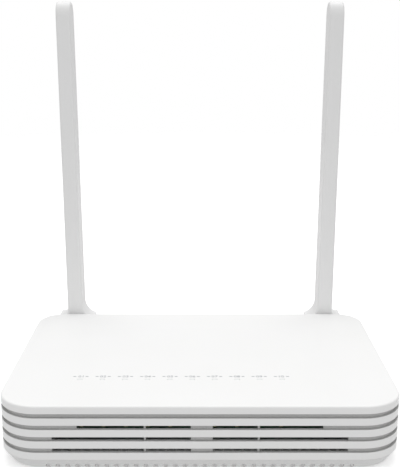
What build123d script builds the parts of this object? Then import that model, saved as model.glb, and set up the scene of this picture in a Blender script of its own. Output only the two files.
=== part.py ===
from build123d import *
import math
import os

os.makedirs("parts", exist_ok=True)

# A home optical network terminal: a flat case with ribbed sides, two folding blade
# antennas on its rear corners, a row of status lights in the lid, network, phone,
# power and optical sockets in the rear, and push buttons in the rear and right side.
# Millimetres. +Z is up, the front faces -Y, and the rubber feet stand on z = 0.
# Left and right are those of someone facing the front: right is +X.

# ---- case ----
BODY_WIDTH = 173.0
BODY_DEPTH = 120.0
CASE_HEIGHT = 29.2
FOOT_STAND = 0.8
FRONT_CORNER_RADIUS = 17.5
REAR_CORNER_RADIUS = 13.0
LID_THICKNESS = 2.0
LID_EDGE_RADIUS = 0.8
FLOOR_THICKNESS = 2.0
BASE_INSET = 3.6
LIP_THICKNESS = 1.4
LIP_HEIGHT = 2.0
LIP_CLEARANCE = 0.15
SEAT_GAP = 0.1
OVERRUN = 1.0

# ---- ribs, grooves and vents in the case walls ----
SKIRT_HEIGHT = 3.46
GROOVE_WIDTH = 1.9
GROOVE_DEPTH = 1.3
RIB_HEIGHT = 3.32
GROOVE_COUNT = 4
WEB_THICKNESS = 1.1
VENT_WEB = 0.6
VENT_POCKET_MARGIN = 1.0
VENT_CENTRE_X = 0.75
VENT_MIDDLE_BRIDGE = 9.2
VENT_SIDE_BRIDGE = 0.9
VENT_SIDE_BRIDGE_X = 24.0
VENT_HALF_SPANS = [51.9, 62.6, 62.6]
BASE_SLOT_COUNT = 32
BASE_SLOT_PITCH = 4.18
BASE_SLOT_WIDTH = 1.7
EDGE_SLOT_REACH = 3.4
FLOOR_SLOT_LENGTH = 13.0
BASE_SLOT_RISE = 1.5
INNER_SLOT_COUNT = 24
INNER_SLOT_LENGTH = 20.0
INNER_SLOT_SETBACK = 34.0

# ---- screws, feet, label and wall hooks ----
CASE_SCREW_INSET_X = 10.0
CASE_SCREW_FRONT = 12.0
CASE_SCREW_REAR = 22.0
BOSS_RADIUS = 3.2
BOSS_SPLIT = 11.2
SCREW_RADIUS = 1.2
SCREW_CLEARANCE = 0.05
SCREW_HEAD_RADIUS = 2.7
SCREW_HEAD_CLEARANCE = 0.2
SCREW_HEAD_HEIGHT = 1.8
SCREW_HEAD_DEPTH = 2.6
SCREW_BITE = 8.0
DRIVE_LENGTH = 3.0
DRIVE_WIDTH = 0.6
DRIVE_DEPTH = 0.8
BOARD_SCREW_HEAD_RADIUS = 2.4
BOARD_SCREW_HEAD_HEIGHT = 1.5
BOARD_DRIVE_LENGTH = 2.8
BOARD_SCREW_SINK = 0.7
STANDOFF_RADIUS = 3.0
FOOT_RADIUS = 5.0
FOOT_EDGE_RADIUS = 0.4
FOOT_RECESS = 0.6
FOOT_CLEARANCE = 0.15
FOOT_X = 58.0
FOOT_FRONT = 24.0
FOOT_REAR = 12.0
LABEL_WIDTH = 50.0
LABEL_DEPTH = 25.0
LABEL_THICKNESS = 0.15
LABEL_RECESS = 0.2
LABEL_CLEARANCE = 0.2
LABEL_FROM_REAR = 30.0
KEYHOLE_SPACING = 110.0
KEYHOLE_HEAD_RADIUS = 3.75
KEYHOLE_NECK_RADIUS = 2.0
KEYHOLE_TRAVEL = 7.0
KEYHOLE_FROM_REAR = 47.0

# ---- circuit board ----
BOARD_WIDTH = 142.0
BOARD_THICKNESS = 1.6
BOARD_FRONT_GAP = 22.0
BOARD_REAR_GAP = 6.0
STANDOFF_HEIGHT = 2.8
BOARD_SCREW_INSET = 4.0
BOARD_SCREW_REAR = 12.0
BOARD_HOLE_CLEARANCE = 0.4

# ---- what is soldered to the board ----
# Chips are x, distance forwards from the board's rear edge, width, depth and height.
PROCESSOR = (-12.0, 52.0, 19.0, 19.0, 1.2)
HEAT_SINK_SIZE = 36.0
HEAT_SINK_BASE = 1.6
HEAT_SINK_FINS = 9
HEAT_SINK_FIN = 1.0
HEAT_SINK_FIN_HEIGHT = 6.5
PAD_THICKNESS = 0.5
MEMORY = (-37.0, 58.0, 12.0, 9.0, 1.1)
FLASH = (-39.0, 72.0, 8.0, 6.0, 0.9)
PHONE_CHIP = (-22.0, 24.0, 8.0, 8.0, 1.0)
SHIELD = (-56.0, 44.0, 24.0, 20.0, 2.6)
SHIELD_SHEET = 0.3
RADIO_CHIP = (-56.0, 44.0, 9.0, 9.0, 0.9)
CRYSTAL = (18.0, 66.0, 3.2, 2.5, 0.8)
OPTICAL_MODULE = (27.0, 60.0, 16.0, 9.0, 7.0)
OPTICAL_BARREL_LENGTH = 6.0
OPTICAL_BARREL_RADIUS = 2.6
TRANSFORMERS_FROM_REAR = 21.0
TRANSFORMER = (24.0, 9.0, 6.0)
CAPACITORS = [(-60.0, 21.0), (-60.0, 10.0), (-37.0, 21.0)]
CAPACITOR_RADIUS = 4.0
CAPACITOR_HEIGHT = 11.5
INDUCTORS = [(-49.0, 26.5), (-35.0, 32.0)]
INDUCTOR_SIZE = 7.0
INDUCTOR_HEIGHT = 4.0
AERIAL_SOCKET_INSET = 4.0
AERIAL_SOCKET_FROM_REAR = 4.0
CAPACITOR_EDGE_RADIUS = 0.5
AERIAL_SOCKET_RADIUS = 1.3
AERIAL_SOCKET_HEIGHT = 1.2
FIBRE_RADIUS = 0.45
FIBRE_BEND = 7.0

# ---- status lights ----
LIGHT_COUNT = 10
LIGHT_PITCH = 10.07
LIGHT_CENTRE_X = -8.5
LIGHT_FROM_FRONT = 28.6
LIGHT_WIDTH = 2.0
LIGHT_DEPTH = 1.0
LIGHT_CLEARANCE = 0.1
LED_HEIGHT = 0.8
LED_WIDTH = 1.6
LED_DEPTH = 0.9
LED_AIR_GAP = 0.3
PIPE_BAR_HEIGHT = 1.6
PIPE_BAR_DEPTH = 2.4
PIPE_SET = 0.05

# ---- rear panel and sockets ----
PANEL_HALF = 55.2
PANEL_LIP = 1.6
PANEL_LIP_OVERLAP = 1.1
PANEL_FLANGE = 1.2
PANEL_SET = 0.4
PANEL_THICKNESS = 2.5
PANEL_HEADROOM = 3.0
SOCKET_SET = 0.3
SOCKET_GAP = 2.7
SOCKET_CLEARANCE = 0.2
SOCKET_HEIGHT = 13.2
SOCKET_DEPTH = 16.5
LAN_PORTS = 4
LAN_PITCH = 13.97
LAN_END_WALL = 0.75
LAN_CAVITY_WIDTH = 11.8
LAN_WIRES = 8
PHONE_WIDTH = 13.0
PHONE_CAVITY_WIDTH = 9.8
PHONE_WIRES = 4
CAVITY_HEIGHT = 7.2
CAVITY_DEPTH = 12.5
CAVITY_RAISE = 3.6
LATCH_WIDTH = 6.2
LATCH_HEIGHT = 1.0
LATCH_NOTCH_WIDTH = 3.6
LATCH_NOTCH_HEIGHT = 2.2
CONTACT_PITCH = 1.02
CONTACT_WIDTH = 0.5
CONTACT_DROP = 2.2
CONTACT_SETBACK = 2.0
CONTACT_LANDING = 1.0
CONTACT_REACH = 8.0
CONTACT_THICKNESS = 0.3
POWER_WIDTH = 9.0
POWER_HEIGHT = 11.0
POWER_DEPTH = 14.0
POWER_AXIS_HEIGHT = 6.4
POWER_BORE_RADIUS = 3.1
POWER_BORE_DEPTH = 9.5
POWER_PIN_RADIUS = 1.05
POWER_PIN_SETBACK = 1.0
POWER_PIN_TIP_RADIUS = 0.5
OPTICAL_WIDTH = 9.3
OPTICAL_HEIGHT = 12.8
OPTICAL_DEPTH = 17.0
OPTICAL_CAVITY_WIDTH = 7.4
OPTICAL_CAVITY_HEIGHT = 9.0
OPTICAL_CAVITY_DEPTH = 13.0
OPTICAL_KEY_WIDTH = 2.4
OPTICAL_KEY_DEPTH = 0.6
OPTICAL_KEY_SETBACK = 3.0
SLEEVE_SETBACK = 5.2
SLEEVE_REAR_REACH = 1.0
SLEEVE_RECESS = 0.4
SLEEVE_OUTER_RADIUS = 1.6
SLEEVE_BORE_RADIUS = 1.25
SLEEVE_HOLDER_WALL = 0.7

# ---- push buttons ----
POWER_BUTTON_SIZE = 8.0
POWER_BUTTON_PROUD = 1.0
POWER_BUTTON_RAISE = 5.8
POWER_BUTTON_TRAVEL = 3.0
POWER_BUTTON_EDGE_RADIUS = 0.6
BUTTON_CLEARANCE = 0.2
BUTTON_FLANGE = 1.0
BUTTON_GAP = 0.3
POWER_PLUNGER = 3.0
PLUNGER_BITE = 3.0
POWER_SWITCH_DEPTH = 12.0
SIDE_BUTTON_LENGTH = 8.0
SIDE_BUTTON_SET = 0.2
SIDE_BUTTON_TRAVEL = 0.6
SIDE_BUTTON_EDGE_RADIUS = 0.5
SIDE_BUTTON_RIB = 3
SIDE_STEM_RADIUS = 1.2
RESET_TIP_RADIUS = 0.4
STEM_CLEARANCE = 0.05
SIDE_SWITCH_WIDTH = 6.2
SIDE_SWITCH_DEPTH = 4.6
SIDE_SWITCH_HEADROOM = 2.2
WLAN_FROM_REAR = 34.0
SIDE_BUTTON_PITCH = 13.0
WLAN_PLACE, WPS_PLACE, RESET_PLACE = 0, 1, 2

# ---- antennas ----
BLADE_DEPTH = 14.0
BLADE_WIDTH_FOOT = 8.1
BLADE_WIDTH_TIP = 7.5
BLADE_EDGE_RADIUS = 1.1
BLADE_WALL = 1.1
BLADE_LEAN = 0.00745
BLADE_OFFSET = 0.32
ANTENNA_TOP = 196.5
ANTENNA_GAP = 2.0
ANTENNA_INSET_X = 17.9
BARREL_LENGTH = 18.8
HINGE_DROP = 11.0
FLARE_INNER_RISE = 3.9
FLARE_INNER_DROP = 3.9
FLARE_OUTER_RISE = 1.4
FLARE_OUTER_DROP = 2.6
FLARE_SAG = 1.1
PIN_RADIUS = 3.0
PIN_BORE_RADIUS = 2.0
PIN_CLEARANCE = 0.05
EAR_RADIUS = 6.6
EAR_THICKNESS = 3.0
OUTER_EAR_THICKNESS = 6.3
EAR_GAP = 0.3
LEAD_CHANNEL = 3.0
LEAD_CHANNEL_HEIGHT = 4.8
EAR_SKIN = 1.8
EAR_ROOT = 4.0
COVER_FROM_HINGE = 16.0
COVER_SPLIT = 2.5
ROOM_START = 8.0
RADIATOR_LENGTH = 128.0
RADIATOR_WIDTH = 9.0
RADIATOR_THICKNESS = 0.8
LEAD_RADIUS = 0.6
LEAD_CLEARANCE = 0.4
LEAD_SIDE_GAP = 0.05
LEAD_WAY_RISE = 4.0
LEAD_RISE = 22.0
LEAD_EAR_BEND = 1.3
LEAD_BEND = 4.0

# ---- worked out from the sizes above ----
WALL = GROOVE_DEPTH + WEB_THICKNESS
RIB_PITCH = GROOVE_WIDTH + RIB_HEIGHT
LID_Z = FOOT_STAND + CASE_HEIGHT
CEILING_Z = LID_Z - LID_THICKNESS
PARTING_Z = LID_Z - SKIRT_HEIGHT - GROOVE_COUNT * RIB_PITCH
FLOOR_Z = FOOT_STAND + FLOOR_THICKNESS
HALF_WIDTH = BODY_WIDTH / 2
Y_FRONT = -(BODY_DEPTH + ANTENNA_GAP + BLADE_DEPTH) / 2
Y_REAR = Y_FRONT + BODY_DEPTH
Y_MIDDLE = (Y_FRONT + Y_REAR) / 2
BOARD_Z = FLOOR_Z + STANDOFF_HEIGHT
BOARD_TOP = BOARD_Z + BOARD_THICKNESS
BOARD_FRONT = Y_FRONT + BOARD_FRONT_GAP
BOARD_REAR = Y_REAR - BOARD_REAR_GAP
SOCKET_FACE = Y_REAR - PANEL_SET - SOCKET_SET
WINDOW_TOP = BOARD_TOP + SOCKET_HEIGHT + PANEL_HEADROOM
BOSS_SPLIT_Z = FOOT_STAND + BOSS_SPLIT
LIGHT_Y = Y_FRONT + LIGHT_FROM_FRONT
LAN_WIDTH = LAN_PORTS * LAN_PITCH + 2 * LAN_END_WALL
HINGE_X = HALF_WIDTH - ANTENNA_INSET_X
HINGE_Y = Y_REAR + ANTENNA_GAP + BLADE_DEPTH / 2
HINGE_Z = LID_Z - HINGE_DROP
BLADE_X = HINGE_X + BLADE_OFFSET
TIP_CENTRE_Z = ANTENNA_TOP - BLADE_DEPTH / 2
COVER_Z = HINGE_Z + COVER_FROM_HINGE
BARREL_END = HINGE_X + BARREL_LENGTH / 2
OUTER_EAR_X = BARREL_END + EAR_GAP
CHANNEL_X = OUTER_EAR_X + EAR_SKIN
LEAD_X = CHANNEL_X + LEAD_CHANNEL / 2
SIDE_RIB_TOP = LID_Z - SKIRT_HEIGHT - SIDE_BUTTON_RIB * RIB_PITCH + RIB_HEIGHT
SIDE_BUTTON_Z = SIDE_RIB_TOP - RIB_HEIGHT / 2
SIDE_SWITCH_X = BOARD_WIDTH / 2
OPTICAL_AXIS_Z = BOARD_TOP + OPTICAL_HEIGHT / 2
CASE_SCREWS = [
    (side * (HALF_WIDTH - CASE_SCREW_INSET_X), y)
    for side in (-1, 1)
    for y in (Y_FRONT + CASE_SCREW_FRONT, Y_REAR - CASE_SCREW_REAR)
]
BOARD_SCREWS = [
    (side * (BOARD_WIDTH / 2 - BOARD_SCREW_INSET), y)
    for side in (-1, 1)
    for y in (BOARD_FRONT + BOARD_SCREW_INSET, BOARD_REAR - BOARD_SCREW_REAR)
]
FEET = [
    (side * FOOT_X, y)
    for side in (-1, 1)
    for y in (Y_FRONT + FOOT_FRONT, Y_REAR - FOOT_REAR)
]
LIGHTS_X = [LIGHT_CENTRE_X + (i - (LIGHT_COUNT - 1) / 2) * LIGHT_PITCH for i in range(LIGHT_COUNT)]


def row_centres(widths, gap):
    """Centres of pieces of these widths, side by side with one gap, centred on zero."""
    edge = -(sum(widths) + gap * (len(widths) - 1)) / 2
    centres = []
    for width in widths:
        centres.append(edge + width / 2)
        edge += width + gap
    return centres


SWITCH_X, POWER_X, PHONE_X, LAN_X, OPTICAL_X = row_centres(
    [POWER_BUTTON_SIZE, POWER_WIDTH, PHONE_WIDTH, LAN_WIDTH, OPTICAL_WIDTH], SOCKET_GAP
)


# ---- shapes used by several pieces ----
def span(x0, x1, y0, y1, z0, z1):
    """A box between two limits on each axis."""
    return Pos((x0 + x1) / 2, (y0 + y1) / 2, (z0 + z1) / 2) * Box(x1 - x0, y1 - y0, z1 - z0)


def block(x, y, z_base, width, depth, height):
    """A box standing on z_base, centred on x and y."""
    return Pos(x, y, z_base + height / 2) * Box(width, depth, height)


def post(x, y, radius, z0, z1):
    """An upright cylinder."""
    return Pos(x, y, (z0 + z1) / 2) * Cylinder(radius, z1 - z0)


def rod_x(x0, x1, y, z, radius):
    """A cylinder along X."""
    return Pos((x0 + x1) / 2, y, z) * Rot(0, 90, 0) * Cylinder(radius, x1 - x0)


def rod_y(y0, y1, x, z, radius):
    """A cylinder along Y."""
    return Pos(x, (y0 + y1) / 2, z) * Rot(90, 0, 0) * Cylinder(radius, y1 - y0)


def plan(inset):
    """The case's outline seen from above, moved inwards by inset."""
    outline = Pos(0, Y_MIDDLE) * Rectangle(BODY_WIDTH - 2 * inset, BODY_DEPTH - 2 * inset)
    outline = fillet(outline.vertices().sort_by(Axis.Y)[:2], FRONT_CORNER_RADIUS - inset)
    return fillet(outline.vertices().sort_by(Axis.Y)[-2:], REAR_CORNER_RADIUS - inset)


def slab(inset, z0, z1):
    """The case's outline as an upright solid."""
    return Pos(0, 0, z0) * extrude(plan(inset), amount=z1 - z0)


def group(pieces):
    """Separate solids that share one node."""
    return Compound([solid for piece in pieces for solid in piece.solids()])


def mirrored(shape):
    """The same piece on the left side."""
    return mirror(shape, about=Plane.YZ)


# ---- case ----
def wall_groove(top):
    """One groove round the left, front and right walls."""
    ring = slab(-OVERRUN, top - GROOVE_WIDTH, top) - slab(GROOVE_DEPTH, top - GROOVE_WIDTH, top)
    end = Y_REAR - REAR_CORNER_RADIUS
    return ring & span(-BODY_WIDTH, BODY_WIDTH, Y_FRONT - 2 * OVERRUN, end, top - GROOVE_WIDTH, top)


def groove_vents(top, half_span):
    """Slots through the front wall in one groove, with three bridges left between them."""
    edge = VENT_SIDE_BRIDGE_X + VENT_SIDE_BRIDGE / 2
    runs = [
        (-half_span, VENT_CENTRE_X - edge),
        (VENT_CENTRE_X - edge + VENT_SIDE_BRIDGE, VENT_CENTRE_X - VENT_MIDDLE_BRIDGE / 2),
        (VENT_CENTRE_X + VENT_MIDDLE_BRIDGE / 2, VENT_CENTRE_X + edge - VENT_SIDE_BRIDGE),
        (VENT_CENTRE_X + edge, half_span),
    ]
    y0, y1 = Y_FRONT - OVERRUN, Y_FRONT + WALL + OVERRUN
    return [span(x0, x1, y0, y1, top - GROOVE_WIDTH, top) for x0, x1 in runs]


def vent_pocket(tops):
    """Inside recess that thins the front wall behind its vents."""
    half = max(VENT_HALF_SPANS) + VENT_POCKET_MARGIN
    low = tops[-1] - GROOVE_WIDTH - VENT_POCKET_MARGIN
    high = tops[0] + VENT_POCKET_MARGIN
    y0 = Y_FRONT + GROOVE_DEPTH + VENT_WEB
    return span(-half, half, y0, Y_FRONT + WALL + OVERRUN, low, high)


def hinge_ear(x0, x1):
    """A lug behind the case that carries one end of an antenna's hinge pin."""
    start = Y_REAR - REAR_CORNER_RADIUS + EAR_ROOT
    if x1 < HALF_WIDTH - REAR_CORNER_RADIUS:
        start = Y_REAR - PANEL_LIP / 2
    arm = span(x0, x1, start, HINGE_Y, HINGE_Z - EAR_RADIUS, HINGE_Z + EAR_RADIUS)
    return arm + rod_x(x0, x1, HINGE_Y, HINGE_Z, EAR_RADIUS)


def right_ears():
    """The inner and outer lugs of the right antenna."""
    inner_end = HINGE_X - BARREL_LENGTH / 2 - EAR_GAP
    inner = hinge_ear(inner_end - EAR_THICKNESS, inner_end)
    return inner + hinge_ear(OUTER_EAR_X, OUTER_EAR_X + OUTER_EAR_THICKNESS)


def right_ear_cuts():
    """The pin's hole through both lugs, and the aerial lead's way into the case."""
    inner = HINGE_X - BARREL_LENGTH / 2 - EAR_GAP - EAR_THICKNESS
    hole = rod_x(inner - OVERRUN, CHANNEL_X, HINGE_Y, HINGE_Z, PIN_RADIUS)
    half = LEAD_CHANNEL_HEIGHT / 2
    channel = span(CHANNEL_X, CHANNEL_X + LEAD_CHANNEL, Y_REAR - REAR_CORNER_RADIUS,
                   HINGE_Y + half, HINGE_Z - half, HINGE_Z + half)
    return hole + channel


def side_button_y(place):
    """Where the right side's buttons are, counted forwards from the rear."""
    return Y_REAR - WLAN_FROM_REAR - place * SIDE_BUTTON_PITCH


def top_cover():
    """Lid, ribbed walls, screw bosses and antenna lugs, moulded in one."""
    cover = slab(0, PARTING_Z, LID_Z)
    cover = fillet(cover.edges().group_by(Axis.Z)[-1], LID_EDGE_RADIUS)
    cover += [right_ears(), mirrored(right_ears())]
    cover -= slab(WALL, PARTING_Z - OVERRUN, CEILING_Z)
    tops = [LID_Z - SKIRT_HEIGHT - i * RIB_PITCH for i in range(GROOVE_COUNT)]
    cover -= [wall_groove(top) for top in tops]
    cover -= vent_pocket(tops[1:])
    for top, half_span in zip(tops[1:], VENT_HALF_SPANS):
        cover -= groove_vents(top, half_span)
    for x, y in CASE_SCREWS:
        cover += post(x, y, BOSS_RADIUS, BOSS_SPLIT_Z + SEAT_GAP, CEILING_Z)
        cover -= post(x, y, SCREW_RADIUS + SCREW_CLEARANCE, BOSS_SPLIT_Z,
                      BOSS_SPLIT_Z + SCREW_BITE + OVERRUN)
    gap = 2 * LIGHT_CLEARANCE
    for x in LIGHTS_X:
        cover -= block(x, LIGHT_Y, CEILING_Z - OVERRUN, LIGHT_WIDTH + gap, LIGHT_DEPTH + gap,
                       LID_THICKNESS + 2 * OVERRUN)
    for place in (WLAN_PLACE, WPS_PLACE):
        y = side_button_y(place)
        length = SIDE_BUTTON_LENGTH + 2 * BUTTON_CLEARANCE
        cover -= span(HALF_WIDTH - WALL - OVERRUN, HALF_WIDTH + OVERRUN, y - length / 2, y + length / 2,
                      SIDE_RIB_TOP - RIB_HEIGHT, SIDE_RIB_TOP)
    cover -= rod_x(HALF_WIDTH - WALL - OVERRUN, HALF_WIDTH + OVERRUN, side_button_y(RESET_PLACE),
                   SIDE_BUTTON_Z, SIDE_STEM_RADIUS + BUTTON_CLEARANCE)
    half = PANEL_HALF + SEAT_GAP
    overlap = PANEL_LIP_OVERLAP + SEAT_GAP
    cover -= span(-half, half, Y_REAR - WALL - OVERRUN, Y_REAR + OVERRUN, PARTING_Z - OVERRUN, WINDOW_TOP)
    cover -= span(-half - overlap, half + overlap, Y_REAR - WALL - OVERRUN, Y_REAR - PANEL_LIP,
                  PARTING_Z - OVERRUN, WINDOW_TOP + overlap)
    return cover - [right_ear_cuts(), mirrored(right_ear_cuts())]


def keyhole(x):
    """A hole for a wall screw's head, with a narrow neck that the case slides down on."""
    y = Y_REAR - KEYHOLE_FROM_REAR
    z0, z1 = FOOT_STAND - OVERRUN, FLOOR_Z + OVERRUN
    hole = post(x, y, KEYHOLE_HEAD_RADIUS, z0, z1)
    hole += post(x, y + KEYHOLE_TRAVEL, KEYHOLE_NECK_RADIUS, z0, z1)
    return hole + span(x - KEYHOLE_NECK_RADIUS, x + KEYHOLE_NECK_RADIUS, y, y + KEYHOLE_TRAVEL, z0, z1)


def slot_row(count, y0, y1, z1):
    """Upward slots side by side in the base."""
    places = [(i - (count - 1) / 2) * BASE_SLOT_PITCH for i in range(count)]
    half = BASE_SLOT_WIDTH / 2
    return [span(x - half, x + half, y0, y1, FOOT_STAND - OVERRUN, z1) for x in places]


def bottom_cover():
    """The tray: chamfered edge, floor with slots, posts, and a lip inside the top cover."""
    low = Pos(0, 0, FOOT_STAND) * plan(BASE_INSET)
    high = Pos(0, 0, PARTING_Z) * plan(0)
    inner = WALL + LIP_CLEARANCE + LIP_THICKNESS
    tray = loft([low, high], ruled=True)
    lip = slab(WALL + LIP_CLEARANCE, PARTING_Z, PARTING_Z + LIP_HEIGHT)
    window = PANEL_HALF + PANEL_LIP_OVERLAP + 2 * SEAT_GAP
    lip -= span(-window, window, Y_REAR - inner - OVERRUN, Y_REAR, PARTING_Z - OVERRUN, LID_Z)
    tray = tray + lip - slab(inner, FLOOR_Z, LID_Z)
    seat = FOOT_STAND + SCREW_HEAD_DEPTH
    for x, y in CASE_SCREWS:
        tray += post(x, y, BOSS_RADIUS, FLOOR_Z, BOSS_SPLIT_Z)
        tray -= post(x, y, SCREW_RADIUS + BOARD_HOLE_CLEARANCE, FOOT_STAND, BOSS_SPLIT_Z + OVERRUN)
        tray -= post(x, y, SCREW_HEAD_RADIUS + SCREW_HEAD_CLEARANCE, FOOT_STAND - OVERRUN, seat)
    for x, y in BOARD_SCREWS:
        tray += post(x, y, STANDOFF_RADIUS, FLOOR_Z, BOARD_Z)
        tray -= post(x, y, SCREW_RADIUS + SCREW_CLEARANCE, FLOOR_Z - OVERRUN, BOARD_Z + OVERRUN)
    for x, y in FEET:
        tray -= post(x, y, FOOT_RADIUS + FOOT_CLEARANCE, FOOT_STAND - OVERRUN, FOOT_STAND + FOOT_RECESS)
    edge_end = Y_FRONT + BASE_INSET + EDGE_SLOT_REACH
    tray -= slot_row(BASE_SLOT_COUNT, Y_FRONT, edge_end, FOOT_STAND + BASE_SLOT_RISE)
    front = Y_FRONT + inner
    tray -= slot_row(BASE_SLOT_COUNT, front, front + FLOOR_SLOT_LENGTH, FLOOR_Z + OVERRUN)
    back = Y_FRONT + INNER_SLOT_SETBACK
    tray -= slot_row(INNER_SLOT_COUNT, back, back + INNER_SLOT_LENGTH, FLOOR_Z + OVERRUN)
    gap = 2 * LABEL_CLEARANCE
    tray -= block(0, Y_REAR - LABEL_FROM_REAR, FOOT_STAND - OVERRUN, LABEL_WIDTH + gap, LABEL_DEPTH + gap,
                  OVERRUN + LABEL_RECESS)
    return tray - [keyhole(-KEYHOLE_SPACING / 2), keyhole(KEYHOLE_SPACING / 2)]


def rear_panel():
    """The plate round the sockets, held behind the top cover's window by a flange."""
    back = Y_REAR - PANEL_SET - PANEL_THICKNESS
    bottom = PARTING_Z + SEAT_GAP
    top = WINDOW_TOP - SEAT_GAP
    panel = span(-PANEL_HALF, PANEL_HALF, back, Y_REAR - PANEL_SET, bottom, top)
    wide = PANEL_HALF + PANEL_LIP_OVERLAP
    lip_face = Y_REAR - PANEL_LIP - SEAT_GAP
    panel += span(-wide, wide, lip_face - PANEL_FLANGE, lip_face, bottom, top + PANEL_LIP_OVERLAP)
    sizes = [(PHONE_X, PHONE_WIDTH, SOCKET_HEIGHT), (LAN_X, LAN_WIDTH, SOCKET_HEIGHT),
             (POWER_X, POWER_WIDTH, POWER_HEIGHT), (OPTICAL_X, OPTICAL_WIDTH, OPTICAL_HEIGHT)]
    gap = SOCKET_CLEARANCE
    for x, width, height in sizes:
        panel -= span(x - width / 2 - gap, x + width / 2 + gap, back - OVERRUN, Y_REAR,
                      BOARD_TOP - gap, BOARD_TOP + height + gap)
    half = POWER_BUTTON_SIZE / 2 + BUTTON_CLEARANCE
    z = BOARD_TOP + POWER_BUTTON_RAISE
    return panel - span(SWITCH_X - half, SWITCH_X + half, back - OVERRUN, Y_REAR, z - half, z + half)


def cross_drive(x, y, z_base, length):
    """The cross that a screwdriver fits, cut from z_base up."""
    height = DRIVE_DEPTH + OVERRUN
    return [block(x, y, z_base, length, DRIVE_WIDTH, height),
            block(x, y, z_base, DRIVE_WIDTH, length, height)]


def case_screws():
    """Four pan-head screws that hold the tray to the top cover."""
    seat = FOOT_STAND + SCREW_HEAD_DEPTH
    screws = []
    for x, y in CASE_SCREWS:
        head = post(x, y, SCREW_HEAD_RADIUS, seat - SCREW_HEAD_HEIGHT, seat)
        head -= cross_drive(x, y, seat - SCREW_HEAD_HEIGHT - OVERRUN, DRIVE_LENGTH)
        screws.append(head + post(x, y, SCREW_RADIUS, seat, BOSS_SPLIT_Z + SCREW_BITE))
    return group(screws)


def board_screws():
    """Four screws that hold the circuit board to the tray's standoffs."""
    top = BOARD_TOP + BOARD_SCREW_HEAD_HEIGHT
    screws = []
    for x, y in BOARD_SCREWS:
        head = post(x, y, BOARD_SCREW_HEAD_RADIUS, BOARD_TOP, top)
        head -= cross_drive(x, y, top - DRIVE_DEPTH, BOARD_DRIVE_LENGTH)
        screws.append(head + post(x, y, SCREW_RADIUS, FLOOR_Z - BOARD_SCREW_SINK, BOARD_TOP))
    return group(screws)


def rubber_feet():
    """Four round pads stuck in shallow recesses under the tray."""
    top = FOOT_STAND + FOOT_RECESS
    feet = []
    for x, y in FEET:
        foot = post(x, y, FOOT_RADIUS, 0, top)
        feet.append(fillet(foot.edges().group_by(Axis.Z)[0], FOOT_EDGE_RADIUS))
    return group(feet)


def rating_label():
    """A blank label stuck in its recess under the tray."""
    z = FOOT_STAND + LABEL_RECESS - LABEL_THICKNESS
    return block(0, Y_REAR - LABEL_FROM_REAR, z, LABEL_WIDTH, LABEL_DEPTH, LABEL_THICKNESS)


# ---- circuit board and what is soldered to it ----
def main_board():
    """The circuit board, with a hole for each of its screws."""
    board = span(-BOARD_WIDTH / 2, BOARD_WIDTH / 2, BOARD_FRONT, BOARD_REAR, BOARD_Z, BOARD_TOP)
    for x, y in BOARD_SCREWS:
        board -= post(x, y, SCREW_RADIUS + BOARD_HOLE_CLEARANCE, BOARD_Z - OVERRUN, BOARD_TOP + OVERRUN)
    return board


def status_leds():
    """One small light-emitting chip under each column of the light pipe."""
    return group([block(x, LIGHT_Y, BOARD_TOP, LED_WIDTH, LED_DEPTH, LED_HEIGHT) for x in LIGHTS_X])


def light_pipe():
    """Clear columns from the lights to the lid, joined by a bar under the lid."""
    base = BOARD_TOP + LED_HEIGHT + LED_AIR_GAP
    top = LID_Z - PIPE_SET
    bar_z = CEILING_Z - SEAT_GAP - PIPE_BAR_HEIGHT
    length = LIGHTS_X[-1] - LIGHTS_X[0] + LIGHT_WIDTH
    pipe = block(LIGHT_CENTRE_X, LIGHT_Y, bar_z, length, PIPE_BAR_DEPTH, PIPE_BAR_HEIGHT)
    return pipe + [block(x, LIGHT_Y, base, LIGHT_WIDTH, LIGHT_DEPTH, top - base) for x in LIGHTS_X]


def chip(place, lift=0.0):
    """A square-edged package on the board."""
    x, setback, width, depth, height = place
    return block(x, BOARD_REAR - setback, BOARD_TOP + lift, width, depth, height)


def thermal_pad():
    """Soft pad between the processor and its heat sink."""
    x, setback, width, depth, height = PROCESSOR
    return chip((x, setback, width, depth, PAD_THICKNESS), lift=height)


def heat_sink():
    """Finned block on the processor, fins running front to back."""
    x, setback, width, depth, height = PROCESSOR
    lift = height + PAD_THICKNESS
    sink = chip((x, setback, HEAT_SINK_SIZE, HEAT_SINK_SIZE, HEAT_SINK_BASE), lift)
    step = (HEAT_SINK_SIZE - HEAT_SINK_FIN) / (HEAT_SINK_FINS - 1)
    for i in range(HEAT_SINK_FINS):
        fin_x = x + (i - (HEAT_SINK_FINS - 1) / 2) * step
        fin = (fin_x, setback, HEAT_SINK_FIN, HEAT_SINK_SIZE, HEAT_SINK_FIN_HEIGHT)
        sink += chip(fin, lift + HEAT_SINK_BASE)
    return sink


def radio_shield():
    """Pressed sheet lid over the radio chip, open underneath."""
    x, setback, width, depth, height = SHIELD
    sheet = 2 * SHIELD_SHEET
    room = (x, setback, width - sheet, depth - sheet, height - SHIELD_SHEET)
    return chip(SHIELD) - chip(room)


def lan_transformers():
    """Two isolation transformers between the processor and the network sockets."""
    width, depth, height = TRANSFORMER
    y = BOARD_REAR - TRANSFORMERS_FROM_REAR
    offset = LAN_WIDTH / 4
    return group([block(LAN_X + side * offset, y, BOARD_TOP, width, depth, height) for side in (-1, 1)])


def capacitors():
    """Three upright electrolytic capacitors of the supply."""
    cans = []
    for x, setback in CAPACITORS:
        can = post(x, BOARD_REAR - setback, CAPACITOR_RADIUS, BOARD_TOP, BOARD_TOP + CAPACITOR_HEIGHT)
        cans.append(fillet(can.edges().group_by(Axis.Z)[-1], CAPACITOR_EDGE_RADIUS))
    return group(cans)


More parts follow.
